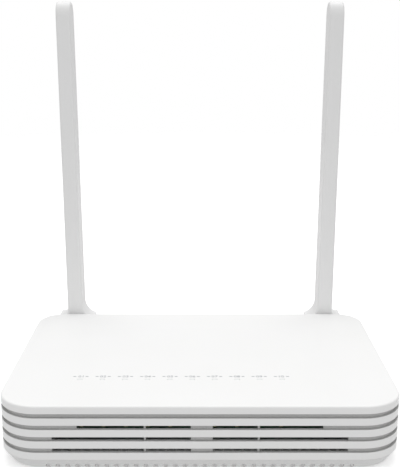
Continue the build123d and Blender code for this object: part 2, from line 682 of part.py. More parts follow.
def inductors():
    """Two shielded inductors of the supply."""
    size = INDUCTOR_SIZE
    return group([block(x, BOARD_REAR - setback, BOARD_TOP, size, size, INDUCTOR_HEIGHT)
                  for x, setback in INDUCTORS])


def module_axis():
    """Y and Z of the optical module's fibre end."""
    return BOARD_REAR - OPTICAL_MODULE[1], BOARD_TOP + OPTICAL_MODULE[4] / 2


def optical_module():
    """Metal block that sends and receives light, with a round fibre end on its right."""
    x, setback, width, depth, height = OPTICAL_MODULE
    y, z = module_axis()
    end = x + width / 2
    return chip(OPTICAL_MODULE) + rod_x(end, end + OPTICAL_BARREL_LENGTH, y, z, OPTICAL_BARREL_RADIUS)


def fibre_pigtail():
    """Short fibre from the module to the back of the optical socket."""
    y, z = module_axis()
    start = (OPTICAL_MODULE[0] + OPTICAL_MODULE[2] / 2 + OPTICAL_BARREL_LENGTH, y, z)
    corner = (OPTICAL_X, y, z)
    end = (OPTICAL_X, SOCKET_FACE - OPTICAL_DEPTH, OPTICAL_AXIS_Z)
    path = FilletPolyline(start, corner, end, radius=FIBRE_BEND)
    return sweep(Plane(path @ 0, z_dir=path % 0) * Circle(FIBRE_RADIUS), path)


def aerial_sockets():
    """Two tiny coaxial sockets at the board's rear corners."""
    x = BOARD_WIDTH / 2 - AERIAL_SOCKET_INSET
    y = BOARD_REAR - AERIAL_SOCKET_FROM_REAR
    top = BOARD_TOP + AERIAL_SOCKET_HEIGHT
    return group([post(side * x, y, AERIAL_SOCKET_RADIUS, BOARD_TOP, top) for side in (-1, 1)])


# ---- sockets ----
def jack_cavity(x, width):
    """The room for one modular plug, with the stepped slot for its latch underneath."""
    base = BOARD_TOP + CAVITY_RAISE
    back = SOCKET_FACE - CAVITY_DEPTH
    room = span(x - width / 2, x + width / 2, back, SOCKET_FACE + OVERRUN, base, base + CAVITY_HEIGHT)
    half = LATCH_WIDTH / 2
    room += span(x - half, x + half, back, SOCKET_FACE + OVERRUN, base - LATCH_HEIGHT, base)
    half = LATCH_NOTCH_WIDTH / 2
    return room + span(x - half, x + half, back, SOCKET_FACE + OVERRUN, base - LATCH_NOTCH_HEIGHT, base)


def jack_housing(x, width, ports, cavity_width):
    """A moulded socket body with one or more plug cavities side by side."""
    body = block(x, SOCKET_FACE - SOCKET_DEPTH / 2, BOARD_TOP, width, SOCKET_DEPTH, SOCKET_HEIGHT)
    for i in range(ports):
        body -= jack_cavity(x + (i - (ports - 1) / 2) * LAN_PITCH, cavity_width)
    return body


def jack_contacts(x, ports, wires):
    """Sprung contact wires sloping down from the roof of each plug cavity."""
    roof = BOARD_TOP + CAVITY_RAISE + CAVITY_HEIGHT
    start = SOCKET_FACE - CONTACT_SETBACK
    end, low = start - CONTACT_REACH, roof - CONTACT_DROP
    outline = Polyline((start, roof), (start - CONTACT_LANDING, roof), (end, low + CONTACT_THICKNESS),
                       (end, low), close=True)
    wire = extrude(Plane.YZ * make_face(outline), amount=CONTACT_WIDTH / 2, both=True)
    pieces = []
    for i in range(ports):
        centre = x + (i - (ports - 1) / 2) * LAN_PITCH
        for j in range(wires):
            pieces.append(Pos(centre + (j - (wires - 1) / 2) * CONTACT_PITCH, 0, 0) * wire)
    return group(pieces)


def power_jack():
    """Coaxial direct-current inlet."""
    body = block(POWER_X, SOCKET_FACE - POWER_DEPTH / 2, BOARD_TOP, POWER_WIDTH, POWER_DEPTH, POWER_HEIGHT)
    z = BOARD_TOP + POWER_AXIS_HEIGHT
    back = SOCKET_FACE - POWER_BORE_DEPTH
    return body - rod_y(back, SOCKET_FACE + OVERRUN, POWER_X, z, POWER_BORE_RADIUS)


def power_jack_pin():
    """The inlet's centre pin."""
    back = SOCKET_FACE - POWER_BORE_DEPTH
    z = BOARD_TOP + POWER_AXIS_HEIGHT
    pin = rod_y(back, SOCKET_FACE - POWER_PIN_SETBACK, POWER_X, z, POWER_PIN_RADIUS)
    return fillet(pin.edges().group_by(Axis.Y)[-1], POWER_PIN_TIP_RADIUS)


def optical_adapter():
    """Push-pull optical socket with a keyway and a holder for the alignment sleeve."""
    x, z = OPTICAL_X, OPTICAL_AXIS_Z
    middle = SOCKET_FACE - OPTICAL_DEPTH / 2
    body = block(x, middle, BOARD_TOP, OPTICAL_WIDTH, OPTICAL_DEPTH, OPTICAL_HEIGHT)
    back = SOCKET_FACE - OPTICAL_CAVITY_DEPTH
    half_x, half_z = OPTICAL_CAVITY_WIDTH / 2, OPTICAL_CAVITY_HEIGHT / 2
    body -= span(x - half_x, x + half_x, back, SOCKET_FACE + OVERRUN, z - half_z, z + half_z)
    key = OPTICAL_KEY_WIDTH / 2
    body -= span(x - half_x - OPTICAL_KEY_DEPTH, x, back + OPTICAL_KEY_SETBACK, SOCKET_FACE + OVERRUN,
                 z - key, z + key)
    holder = SLEEVE_OUTER_RADIUS + SCREW_CLEARANCE + SLEEVE_HOLDER_WALL
    body += rod_y(back, SOCKET_FACE - SLEEVE_SETBACK, x, z, holder)
    seat = SLEEVE_OUTER_RADIUS + SCREW_CLEARANCE
    return body - rod_y(back - SLEEVE_REAR_REACH, SOCKET_FACE, x, z, seat)


def ferrule_sleeve():
    """Ceramic tube that lines up the two fibres."""
    x, z = OPTICAL_X, OPTICAL_AXIS_Z
    y0 = SOCKET_FACE - OPTICAL_CAVITY_DEPTH - SLEEVE_REAR_REACH
    y1 = SOCKET_FACE - SLEEVE_SETBACK - SLEEVE_RECESS
    bore = rod_y(y0 - OVERRUN, y1 + OVERRUN, x, z, SLEEVE_BORE_RADIUS)
    return rod_y(y0, y1, x, z, SLEEVE_OUTER_RADIUS) - bore


# ---- push buttons ----
def button_back():
    """Rear face of the power button's flange, pressed out."""
    return Y_REAR - PANEL_SET - PANEL_THICKNESS - BUTTON_GAP - BUTTON_FLANGE


def power_button():
    """Square cap with a stop flange and a plunger that enters the switch."""
    z = BOARD_TOP + POWER_BUTTON_RAISE
    half = POWER_BUTTON_SIZE / 2
    back = button_back()
    cap = span(SWITCH_X - half, SWITCH_X + half, back, Y_REAR + POWER_BUTTON_PROUD, z - half, z + half)
    cap = fillet(cap.edges().group_by(Axis.Y)[-1], POWER_BUTTON_EDGE_RADIUS)
    wide = half + BUTTON_FLANGE
    cap += span(SWITCH_X - wide, SWITCH_X + wide, back, back + BUTTON_FLANGE, z - wide, z + wide)
    end = back - POWER_BUTTON_TRAVEL - BUTTON_GAP - PLUNGER_BITE
    half = POWER_PLUNGER / 2
    return cap + span(SWITCH_X - half, SWITCH_X + half, end, back, z - half, z + half)


def power_switch():
    """Latching switch behind the power button."""
    z = BOARD_TOP + POWER_BUTTON_RAISE
    face = button_back() - POWER_BUTTON_TRAVEL - BUTTON_GAP
    height = POWER_BUTTON_RAISE + POWER_PLUNGER
    body = block(SWITCH_X, face - POWER_SWITCH_DEPTH / 2, BOARD_TOP, POWER_BUTTON_SIZE, POWER_SWITCH_DEPTH,
                 height)
    half = POWER_PLUNGER / 2 + SEAT_GAP
    depth = PLUNGER_BITE + POWER_BUTTON_TRAVEL + BUTTON_GAP
    return body - span(SWITCH_X - half, SWITCH_X + half, face - depth, face + OVERRUN, z - half, z + half)


def side_stem(y, end):
    """The round stem that reaches from a side button into its switch."""
    start = SIDE_SWITCH_X - PLUNGER_BITE
    return rod_x(start, end, y, SIDE_BUTTON_Z, SIDE_STEM_RADIUS)


def side_button(place):
    """A cap that fills a gap in one rib, with a stop flange and a stem."""
    y = side_button_y(place)
    inside = HALF_WIDTH - WALL - BUTTON_GAP
    half = SIDE_BUTTON_LENGTH / 2
    rise = RIB_HEIGHT / 2 - BUTTON_CLEARANCE
    cap = span(inside - OVERRUN, HALF_WIDTH - SIDE_BUTTON_SET, y - half, y + half,
               SIDE_BUTTON_Z - rise, SIDE_BUTTON_Z + rise)
    cap = fillet(cap.edges().group_by(Axis.X)[-1], SIDE_BUTTON_EDGE_RADIUS)
    wide, tall = half + BUTTON_FLANGE, rise + BUTTON_FLANGE
    cap += span(inside - BUTTON_FLANGE, inside, y - wide, y + wide,
                SIDE_BUTTON_Z - tall, SIDE_BUTTON_Z + tall)
    return cap + side_stem(y, inside)


def reset_button():
    """A plain pin behind a small hole, pressed with a wire."""
    pin = side_stem(side_button_y(RESET_PLACE), HALF_WIDTH - WALL - BUTTON_GAP)
    return fillet(pin.edges().group_by(Axis.X)[-1], RESET_TIP_RADIUS)


def side_switch(place):
    """Small switch at the board's right edge, worked from the side."""
    y = side_button_y(place)
    height = SIDE_BUTTON_Z + SIDE_SWITCH_HEADROOM - BOARD_TOP
    x = SIDE_SWITCH_X - SIDE_SWITCH_DEPTH / 2
    body = block(x, y, BOARD_TOP, SIDE_SWITCH_DEPTH, SIDE_SWITCH_WIDTH, height)
    depth = PLUNGER_BITE + SIDE_BUTTON_TRAVEL + BUTTON_GAP
    return body - rod_x(SIDE_SWITCH_X - depth, SIDE_SWITCH_X + OVERRUN, y, SIDE_BUTTON_Z,
                        SIDE_STEM_RADIUS + STEM_CLEARANCE)


# ---- antennas: the right one, mirrored for the left ----
def blade_centre(z):
    """X of the blade's middle at a height: it leans slightly outwards."""
    return BLADE_X + BLADE_LEAN * (z - LID_Z)


def blade_half(z):
    """Half of the blade's width at a height: it narrows upwards."""
    share = (z - LID_Z) / (ANTENNA_TOP - LID_Z)
    return (BLADE_WIDTH_FOOT + (BLADE_WIDTH_TIP - BLADE_WIDTH_FOOT) * share) / 2


def blade_edge(side, z, inset=0.0):
    """A point on the blade's inner or outer side."""
    return (blade_centre(z) + side * (blade_half(z) - inset), z)


def flare(side, rise, drop):
    """The hollow curve by which one side of the blade widens into its foot, from above the
    lid's level to below it."""
    top = blade_edge(side, LID_Z + rise)
    foot = (HINGE_X + side * BARREL_LENGTH / 2, LID_Z - drop)
    middle = ((top[0] + foot[0]) / 2 - side * FLARE_SAG, (top[1] + foot[1]) / 2 - FLARE_SAG)
    return ThreePointArc(top, middle, foot)


def antenna_front():
    """The antenna's outline seen from the front."""
    foot_z = HINGE_Z - BLADE_DEPTH
    inner_x, outer_x = HINGE_X - BARREL_LENGTH / 2, HINGE_X + BARREL_LENGTH / 2
    edges = [
        flare(1, FLARE_OUTER_RISE, FLARE_OUTER_DROP),
        Line((outer_x, LID_Z - FLARE_OUTER_DROP), (outer_x, foot_z)),
        Line((outer_x, foot_z), (inner_x, foot_z)),
        Line((inner_x, foot_z), (inner_x, LID_Z - FLARE_INNER_DROP)),
        flare(-1, FLARE_INNER_RISE, FLARE_INNER_DROP),
        Line(blade_edge(-1, LID_Z + FLARE_INNER_RISE), blade_edge(-1, ANTENNA_TOP)),
        Line(blade_edge(-1, ANTENNA_TOP), blade_edge(1, ANTENNA_TOP)),
        Line(blade_edge(1, ANTENNA_TOP), blade_edge(1, LID_Z + FLARE_OUTER_RISE)),
    ]
    return make_face(Wire(edges))


def upright_slot(z0, z1, depth):
    """A solid across the antenna's width, round at both ends seen from the side."""
    profile = Pos(HINGE_Y, (z0 + z1) / 2) * Rot(0, 0, 90) * SlotCenterToCenter(z1 - z0, depth)
    return extrude(Plane.YZ * profile, amount=BODY_WIDTH)


def antenna_outside():
    """The antenna's outer shape, with its long edges rounded."""
    front = extrude(Pos(0, HINGE_Y, 0) * (Plane.XZ * antenna_front()), amount=BLADE_DEPTH, both=True)
    solid = front & upright_slot(HINGE_Z, TIP_CENTRE_Z, BLADE_DEPTH)
    edges = solid.edges().filter_by(lambda edge: edge.center().Z > LID_Z + FLARE_INNER_RISE)
    edges = edges.filter_by(Axis.X, reverse=True)
    return fillet(edges, BLADE_EDGE_RADIUS)


def antenna_room():
    """The hollow inside the blade, with the lead's way down to the hinge."""
    low, high = COVER_Z + OVERRUN, ANTENNA_TOP - 2 * BLADE_WALL
    corners = [blade_edge(-1, low, BLADE_WALL), blade_edge(1, low, BLADE_WALL),
               blade_edge(1, high, BLADE_WALL), blade_edge(-1, high, BLADE_WALL)]
    sheet = Pos(0, HINGE_Y, 0) * (Plane.XZ * make_face(Polyline(*corners, close=True)))
    depth = BLADE_DEPTH - 2 * BLADE_WALL
    room = extrude(sheet, amount=BLADE_DEPTH, both=True)
    room &= upright_slot(COVER_Z + ROOM_START, TIP_CENTRE_Z, depth)
    return room + post(lead_x(), HINGE_Y, LEAD_RADIUS + LEAD_CLEARANCE, HINGE_Z, COVER_Z + LEAD_WAY_RISE)


def radiator_x():
    """X of the radiator board's middle plane."""
    return blade_centre(COVER_Z + RADIATOR_LENGTH / 2)


def lead_x():
    """X of the lead beside the radiator board."""
    return radiator_x() - RADIATOR_THICKNESS / 2 - LEAD_RADIUS - LEAD_SIDE_GAP


def cover_region(gap):
    """The rear part of the blade that its snap-on cover takes up."""
    y0 = HINGE_Y + COVER_SPLIT - gap
    return span(0, BODY_WIDTH, y0, HINGE_Y + BLADE_DEPTH, COVER_Z - gap, ANTENNA_TOP + OVERRUN)


def hinge_hole():
    """The hole through the antenna's foot that turns on the pin."""
    return rod_x(0, BODY_WIDTH, HINGE_Y, HINGE_Z, PIN_RADIUS + PIN_CLEARANCE)


def antenna_shell():
    """Foot, front and sides of the antenna."""
    return antenna_outside() - antenna_room() - hinge_hole() - cover_region(SEAT_GAP)


def antenna_cover():
    """The rear part of the blade's casing."""
    return (antenna_outside() - antenna_room()) & cover_region(0)


def radiator():
    """Printed board that is the antenna proper, standing in the blade."""
    radius = BLADE_DEPTH / 2 - BLADE_WALL
    base = COVER_Z + ROOM_START - math.sqrt(radius ** 2 - (RADIATOR_WIDTH / 2) ** 2) + SEAT_GAP
    return block(radiator_x(), HINGE_Y, base, RADIATOR_THICKNESS, RADIATOR_WIDTH, RADIATOR_LENGTH)


def antenna_lead():
    """Coaxial lead from the hinge up to the radiator board."""
    return post(lead_x(), HINGE_Y, LEAD_RADIUS, HINGE_Z + PIN_RADIUS + LEAD_CLEARANCE, COVER_Z + LEAD_RISE)


def hinge_pin():
    """Hollow pin pushed through both lugs, closed at its inner end, with the lead inside."""
    inner = HINGE_X - BARREL_LENGTH / 2 - EAR_GAP - EAR_THICKNESS
    pin = rod_x(inner, CHANNEL_X, HINGE_Y, HINGE_Z, PIN_RADIUS)
    return pin - rod_x(inner + EAR_THICKNESS, CHANNEL_X + OVERRUN, HINGE_Y, HINGE_Z, PIN_BORE_RADIUS)


def case_lead():
    """Coaxial lead from inside the pin, through the outer lug, to the board's corner."""
    y = BOARD_REAR - AERIAL_SOCKET_FROM_REAR
    corner = BOARD_WIDTH / 2 - AERIAL_SOCKET_INSET
    points = [(HINGE_X, HINGE_Y, HINGE_Z), (LEAD_X, HINGE_Y, HINGE_Z), (LEAD_X, y, HINGE_Z),
              (corner, y, HINGE_Z), (corner, y, BOARD_TOP + AERIAL_SOCKET_HEIGHT)]
    path = FilletPolyline(*points, radius=[LEAD_EAR_BEND, LEAD_BEND, LEAD_BEND])
    return sweep(Plane(path @ 0, z_dir=path % 0) * Circle(LEAD_RADIUS), path)


def save(name, shape):
    """Write one piece to its own file."""
    shape.label = name
    export_step(shape, f"parts/{name}.step")


save("top_cover", top_cover())
save("bottom_cover", bottom_cover())
save("rear_panel", rear_panel())
save("case_screws", case_screws())
save("board_screws", board_screws())
save("rubber_feet", rubber_feet())
save("rating_label", rating_label())

save("main_board", main_board())
save("status_leds", status_leds())
save("light_pipe", light_pipe())
save("processor", chip(PROCESSOR))
save("thermal_pad", thermal_pad())
save("heat_sink", heat_sink())
save("memory_chip", chip(MEMORY))
save("flash_chip", chip(FLASH))
save("phone_line_chip", chip(PHONE_CHIP))
save("radio_chip", chip(RADIO_CHIP))
save("radio_shield", radio_shield())
save("crystal", chip(CRYSTAL))
save("lan_transformers", lan_transformers())
save("supply_capacitors", capacitors())
save("supply_inductors", inductors())
save("optical_module", optical_module())
save("fibre_pigtail", fibre_pigtail())
save("aerial_sockets", aerial_sockets())

save("lan_jacks", jack_housing(LAN_X, LAN_WIDTH, LAN_PORTS, LAN_CAVITY_WIDTH))
save("lan_contacts", jack_contacts(LAN_X, LAN_PORTS, LAN_WIRES))
save("phone_jack", jack_housing(PHONE_X, PHONE_WIDTH, 1, PHONE_CAVITY_WIDTH))
save("phone_contacts", jack_contacts(PHONE_X, 1, PHONE_WIRES))
save("power_jack", power_jack())
save("power_jack_pin", power_jack_pin())
save("optical_adapter", optical_adapter())
save("ferrule_sleeve", ferrule_sleeve())

save("power_button", power_button())
save("power_switch", power_switch())
save("wlan_button", side_button(WLAN_PLACE))
save("wlan_switch", side_switch(WLAN_PLACE))
save("wps_button", side_button(WPS_PLACE))
save("wps_switch", side_switch(WPS_PLACE))
save("reset_button", reset_button())
save("reset_switch", side_switch(RESET_PLACE))

RIGHT_ANTENNA = {
    "antenna_shell": antenna_shell(),
    "antenna_cover": antenna_cover(),
    "radiator": radiator(),
    "antenna_lead": antenna_lead(),
    "hinge_pin": hinge_pin(),
    "case_lead": case_lead(),
}
for name, piece in RIGHT_ANTENNA.items():
    save(f"{name}_left", mirrored(piece))
    save(f"{name}_right", piece)
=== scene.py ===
import bpy
import bmesh
import math
from mathutils import Matrix, Vector


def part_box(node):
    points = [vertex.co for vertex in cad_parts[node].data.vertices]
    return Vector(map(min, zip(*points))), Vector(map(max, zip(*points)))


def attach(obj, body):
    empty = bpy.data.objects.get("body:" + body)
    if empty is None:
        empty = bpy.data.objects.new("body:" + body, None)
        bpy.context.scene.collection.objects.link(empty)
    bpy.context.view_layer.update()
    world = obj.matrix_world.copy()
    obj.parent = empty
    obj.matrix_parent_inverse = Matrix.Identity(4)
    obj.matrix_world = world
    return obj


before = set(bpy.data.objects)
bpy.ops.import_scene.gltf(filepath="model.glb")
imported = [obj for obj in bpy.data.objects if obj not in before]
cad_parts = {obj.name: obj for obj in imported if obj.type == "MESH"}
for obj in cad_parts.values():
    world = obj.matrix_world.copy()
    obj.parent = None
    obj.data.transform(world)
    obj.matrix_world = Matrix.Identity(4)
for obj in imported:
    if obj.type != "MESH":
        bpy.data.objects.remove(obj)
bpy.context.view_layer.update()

# A home optical network terminal, put together in the order of the factory line: base,
# board, sockets, rear panel, lid, antennas, buttons, and last the stand-in studio.
# Metres, in the part's own frame: +Z up, the front faces -Y, right is +X.


# ---- bottom cover ----
# The lower half of the case is injection-moulded white ABS with a spark-eroded grain. It
# carries the board on its standoffs, stands on four feet and is slotted along its edges.
MM = 0.001
# Painted shade in the grooves: where an occlusion test finds less than PAINTED_SHADE_OPEN of open air
# within PAINTED_SHADE_REACH, the white is darkened, fully at PAINTED_SHADE_SHUT.
PAINTED_SHADE_REACH = 2.6 * MM
PAINTED_SHADE_SHUT, PAINTED_SHADE_OPEN = 0.55, 0.92  # share of open air for full tint and for none


def linear(colour):
    """An sRGB hex colour as the linear RGBA that a shader socket takes."""
    parts = [int(colour[i:i + 2], 16) / 255 for i in (1, 3, 5)]
    return [c / 12.92 if c <= 0.04045 else ((c + 0.055) / 1.055) ** 2.4 for c in parts] + [1.0]


def add(tree, kind, values=None, links=None, **settings):
    """Adds a node, with its settings, its input values and the sockets that feed its inputs."""
    new = tree.nodes.new(kind)
    for name, value in settings.items():
        setattr(new, name, value)
    for name, value in (values or {}).items():
        new.inputs[name].default_value = value
    for name, source in (links or {}).items():
        tree.links.new(source, new.inputs[name])
    return new


def finish(name, light, dark, patch, rough, grain, depth, stretch=(1, 1, 1), edge=0.0,
           painted_shade=None, **shader):
    """A material whose tint drifts from light to dark over patches of one size, with a grain of another
    size in its roughness and relief. Sizes are millimetres; stretch draws the grain out into streaks,
    edge is the radius that the mould or tumbling leaves on sharp edges, and painted_shade is the colour
    of a painted shade laid into grooves narrower than PAINTED_SHADE_REACH, where an occlusion test
    finds them sheltered."""
    made = bpy.data.materials.new(name)
    made.use_nodes = True
    tree = made.node_tree
    tree.nodes.clear()
    place = add(tree, "ShaderNodeTexCoord")
    run = add(tree, "ShaderNodeMapping", {"Scale": stretch}, {"Vector": place.outputs["Object"]})
    drift = add(tree, "ShaderNodeTexNoise", {"Scale": 1 / (patch * MM), "Detail": 2.0},
                {"Vector": run.outputs[0]})
    fine = add(tree, "ShaderNodeTexNoise", {"Scale": 1 / (grain * MM), "Detail": 3.0},
               {"Vector": run.outputs[0]})
    tint = add(tree, "ShaderNodeMix", {6: linear(light), 7: linear(dark)},
               {0: drift.outputs["Fac"]}, data_type="RGBA")
    # Painted shade: the occlusion test darkens the tint in narrow grooves, in place of the shade that
    # falls there.
    if painted_shade:
        shelter = add(tree, "ShaderNodeAmbientOcclusion", {"Distance": PAINTED_SHADE_REACH},
                      samples=8, only_local=True)
        open_air = add(tree, "ShaderNodeMapRange", {"From Min": PAINTED_SHADE_SHUT, "From Max": PAINTED_SHADE_OPEN},
                       {"Value": shelter.outputs["AO"]})
        tint = add(tree, "ShaderNodeMix", {6: linear(painted_shade)},
                   {0: open_air.outputs[0], 7: tint.outputs[2]}, data_type="RGBA")
    sheen = add(tree, "ShaderNodeMapRange", {"To Min": rough[0], "To Max": rough[1]},
                {"Value": fine.outputs["Fac"]})
    relief = add(tree, "ShaderNodeBump", {"Distance": depth * MM, "Strength": 1.0},
                 {"Height": fine.outputs["Fac"]})
    if edge:
        soft = add(tree, "ShaderNodeBevel", {"Radius": edge * MM}, samples=4)
        tree.links.new(soft.outputs[0], relief.inputs["Normal"])
    body = add(tree, "ShaderNodeBsdfPrincipled", shader,
               {"Base Color": tint.outputs[2], "Roughness": sheen.outputs[0],
                "Normal": relief.outputs[0]})
    add(tree, "ShaderNodeOutputMaterial", links={"Surface": body.outputs[0]})
    return made


def dress(material, *names):
    """Gives the named parts this material in place of the plain one that they came with."""
    for name in names:
        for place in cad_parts[name].material_slots:
            place.material = material


# ABS, IOR 1.54. The mould's grain is about 0.1 mm, drawn at 0.6 mm so that it shows: it turns the gloss
# of the bare plastic into an even satin with a faint pebble. The darker tint in the grooves isn't in
# the plastic: it is painted shade, set to draw the grooves as the grey bands they read as.
white_abs = finish("white_abs_spark_eroded", "#E9E9E9", "#E6E6E5", 35.0, (0.44, 0.52), 0.6,
                   0.012, edge=0.2, painted_shade="#AFAFAE", IOR=1.54)
dress(white_abs, "bottom_cover")


# ---- case screws ----
# Four self-tapping steel screws hold the two covers together from below. Their heads sit
# in the bottom cover's counterbores; zinc plating keeps them from rusting.
# Zinc on rolled steel: a cool, slightly cloudy shine with fine marks from forming.
zinc_plate = finish("zinc_plated_steel", "#C3C6CB", "#A9ACB2", 1.5, (0.26, 0.42), 0.25, 0.01,
                    Metallic=1.0)
dress(zinc_plate, "case_screws", "board_screws")


# ---- rubber feet ----
# Die-cut discs of black rubber, stuck into shallow recesses so that they can't be pushed
# off sideways. They keep the case clear of the table for the air that enters below.
# Vulcanised rubber, IOR 1.52: nearly matte, with a dusty bloom over a fine pitted face.
foot_rubber = finish("vulcanised_rubber", "#2C2C2E", "#3A3A3B", 4.0, (0.78, 0.92), 0.4, 0.03,
                     edge=0.25, IOR=1.52)
dress(foot_rubber, "rubber_feet")


# ---- rating label ----
# A blank film stuck in a recess under the case, where the maker's data would be.
# Polypropylene film, IOR 1.49: smooth and even, a little glossier than the case round it.
label_film = finish("polypropylene_film", "#DEDEDC", "#DADAD9", 8.0, (0.30, 0.38), 0.8, 0.004,
                    IOR=1.49)
dress(label_film, "rating_label")


# ---- main board ----
# Fibreglass laminate with etched copper under a green lacquer. Tracks run square to its
# edges; the same board material makes the small radiator inside each antenna.
TRACK_PITCH = 0.8 * MM
TRACK_RISE = 0.03 * MM
GLASS_WEAVE = 0.7 * MM
WAVE_REPEAT = 0.32  # a wave texture of scale 1 repeats about this often
BLOCK_EDGE = (0.25, 0.32)  # where tracks start, in shares of a block
RESIST_ROUGHNESS = (0.22, 0.36)


def lacquered_board(name, resist, track, pitch):
    """Green solder resist over etched copper, which shows through as paler raised runs."""
    made = bpy.data.materials.new(name)
    made.use_nodes = True
    tree = made.node_tree
    tree.nodes.clear()
    place = add(tree, "ShaderNodeTexCoord")
    blocks = add(tree, "ShaderNodeTexVoronoi", {"Scale": 1 / (pitch * MM), "Randomness": 0.9},
                 {"Vector": place.outputs["Object"]}, distance="MANHATTAN")
    runs = add(tree, "ShaderNodeTexWave", {"Scale": WAVE_REPEAT / TRACK_PITCH, "Distortion": 0.0},
               {"Vector": blocks.outputs["Position"]})
    weave = add(tree, "ShaderNodeTexNoise", {"Scale": 1 / GLASS_WEAVE, "Detail": 2.0},
                {"Vector": place.outputs["Object"]})
    steps = add(tree, "ShaderNodeMapRange", {"From Min": BLOCK_EDGE[0], "From Max": BLOCK_EDGE[1]},
                {"Value": blocks.outputs["Distance"]})
    mask = add(tree, "ShaderNodeMath", links={0: steps.outputs[0], 1: runs.outputs["Fac"]},
               operation="MULTIPLY")
    tint = add(tree, "ShaderNodeMix", {6: linear(resist), 7: linear(track)},
               {0: mask.outputs[0]}, data_type="RGBA")
    sheen = add(tree, "ShaderNodeMapRange",
                {"To Min": RESIST_ROUGHNESS[0], "To Max": RESIST_ROUGHNESS[1]},
                {"Value": weave.outputs["Fac"]})
    relief = add(tree, "ShaderNodeBump", {"Distance": TRACK_RISE, "Strength": 1.0},
                 {"Height": mask.outputs[0]})
    body = add(tree, "ShaderNodeBsdfPrincipled", {"IOR": 1.52},
               {"Base Color": tint.outputs[2], "Roughness": sheen.outputs[0],
                "Normal": relief.outputs[0]})
    add(tree, "ShaderNodeOutputMaterial", links={"Surface": body.outputs[0]})
    return made


# Solder resist, IOR 1.52: a glossy dark green skin with lighter lines where copper lies.
solder_resist = lacquered_board("green_solder_resist", "#0E5B33", "#2C8150", 5.0)
dress(solder_resist, "main_board", "radiator_left", "radiator_right")


# ---- chips and magnetics ----
# Epoxy-moulded chips and transformers are soldered flat on the board, with pressed ferrite
# inductors beside them.
# Epoxy mould compound, IOR 1.55: charcoal black, dull, with a matte laser-ready top.
chip_epoxy = finish("moulded_epoxy", "#1C1C1E", "#242426", 3.0, (0.52, 0.66), 0.3, 0.008,
                    IOR=1.55)
dress(chip_epoxy, "processor", "memory_chip", "flash_chip", "phone_line_chip", "radio_chip",
      "lan_transformers")
# Ferrite is pressed powder, fired like a pot: dark grey, slightly sparkling and porous.
pressed_ferrite = finish("pressed_ferrite", "#2B2B2D", "#3B3B3E", 0.8, (0.48, 0.75), 0.35, 0.02,
                         IOR=1.8)
dress(pressed_ferrite, "supply_inductors")


# ---- heat sink and pad ----
# A comb of aluminium, extruded, cut to length and anodised, stands on a soft silicone pad
# that fills the gap to the processor.
# Anodised aluminium: a pale dry metal whose extrusion lines run along the fins.
anodised = finish("anodised_aluminium", "#D2D4D8", "#BCBFC4", 1.2, (0.34, 0.48), 0.3, 0.008,
                  stretch=(1, 0.06, 1), Metallic=1.0)
dress(anodised, "heat_sink")
# Filled silicone, IOR 1.43: soft, chalky blue-grey, with the cloth print of its liner.
silicone_pad = finish("filled_silicone", "#7C88A3", "#707B95", 2.0, (0.70, 0.85), 0.5, 0.02,
                      IOR=1.43)
dress(silicone_pad, "thermal_pad")


# ---- shields, crystal and optical module ----
# Folded and drawn boxes of tinned steel sheet keep the radio, the crystal and the optics
# apart from the rest.
# Tin on rolled sheet: soft silver with faint streaks along the sheet's rolling.
tinned_steel = finish("tinned_rolled_steel", "#D6D6D3", "#BDBDBB", 2.5, (0.24, 0.40), 0.3,
                      0.006, stretch=(0.08, 1, 1), Metallic=1.0)
dress(tinned_steel, "radio_shield", "crystal", "optical_module")


# ---- capacitors ----
# Electrolytic capacitors are drawn aluminium cans with a crimp near the board.
# Drawn aluminium: bright, with fine lines round the can from its drawing.
drawn_can = finish("drawn_aluminium", "#D9DADC", "#C6C7CA", 1.0, (0.22, 0.34), 0.25, 0.005,
                   stretch=(0.3, 0.3, 2), Metallic=1.0)
dress(drawn_can, "supply_capacitors")


# ---- status lights and light pipe ----
# Ten small lights shine into one moulded comb, whose prongs end flush in the lid.
# Clear epoxy over yellow phosphor, IOR 1.52: warm cream, glossy.
led_epoxy = finish("phosphor_epoxy", "#EFE3AE", "#E6D58C", 0.8, (0.12, 0.20), 0.3, 0.004,
                   IOR=1.52)
dress(led_epoxy, "status_leds")
# Milky acrylic, IOR 1.49: it spreads the light, so unlit it is as pale as the lid.
milky_acrylic = finish("milky_acrylic", "#F0F2F2", "#ECEEEE", 3.0, (0.20, 0.28), 0.5, 0.003,
                       IOR=1.49)
dress(milky_acrylic, "light_pipe")


# ---- contacts and plated pins ----
# Spring contacts and aerial sockets are stamped bronze with a flash of gold; the power
# socket's centre pin is turned brass plated with nickel.
# Gold flash: warm, thin and bright, with the stamping's lines still in it.
gold_flash = finish("gold_flashed_bronze", "#E6C06A", "#D9AE55", 0.8, (0.18, 0.30), 0.2, 0.003,
                    stretch=(1, 0.2, 1), Metallic=1.0)
dress(gold_flash, "lan_contacts", "phone_contacts", "aerial_sockets")
# Nickel: a slightly warm mirror with turning marks round the pin.
nickel_plate = finish("nickel_plated_brass", "#CFCBC2", "#BDB9B0", 1.0, (0.12, 0.24), 0.2,
                      0.003, stretch=(0.3, 2, 0.3), Metallic=1.0)
dress(nickel_plate, "power_jack_pin")


# ---- optical fibre and its socket ----
# The fibre leaves the optical module in a thin yellow jacket and ends in a ceramic sleeve,
# inside the green adapter that marks an angled connector.
# PVC jacket, IOR 1.53: smooth, waxy yellow.
fibre_jacket = finish("yellow_pvc_jacket", "#E7BE2C", "#DDB222", 5.0, (0.28, 0.38), 0.5, 0.004,
                      IOR=1.53)
dress(fibre_jacket, "fibre_pigtail")
# Ground zirconia, IOR 2.1: dense, bright white with a polished skin.
zirconia = finish("ground_zirconia", "#F1EFE9", "#EBE8E0", 1.5, (0.08, 0.16), 0.2, 0.002,
                  IOR=2.1)
dress(zirconia, "ferrule_sleeve")
# Moulded polyester (PBT), IOR 1.57: satin and even, lightly clouded by its glass filling.
green_polyester = finish("green_moulded_polyester", "#2A8F58", "#25854F", 4.0, (0.32, 0.44),
                         0.4, 0.008, IOR=1.57)
dress(green_polyester, "optical_adapter")


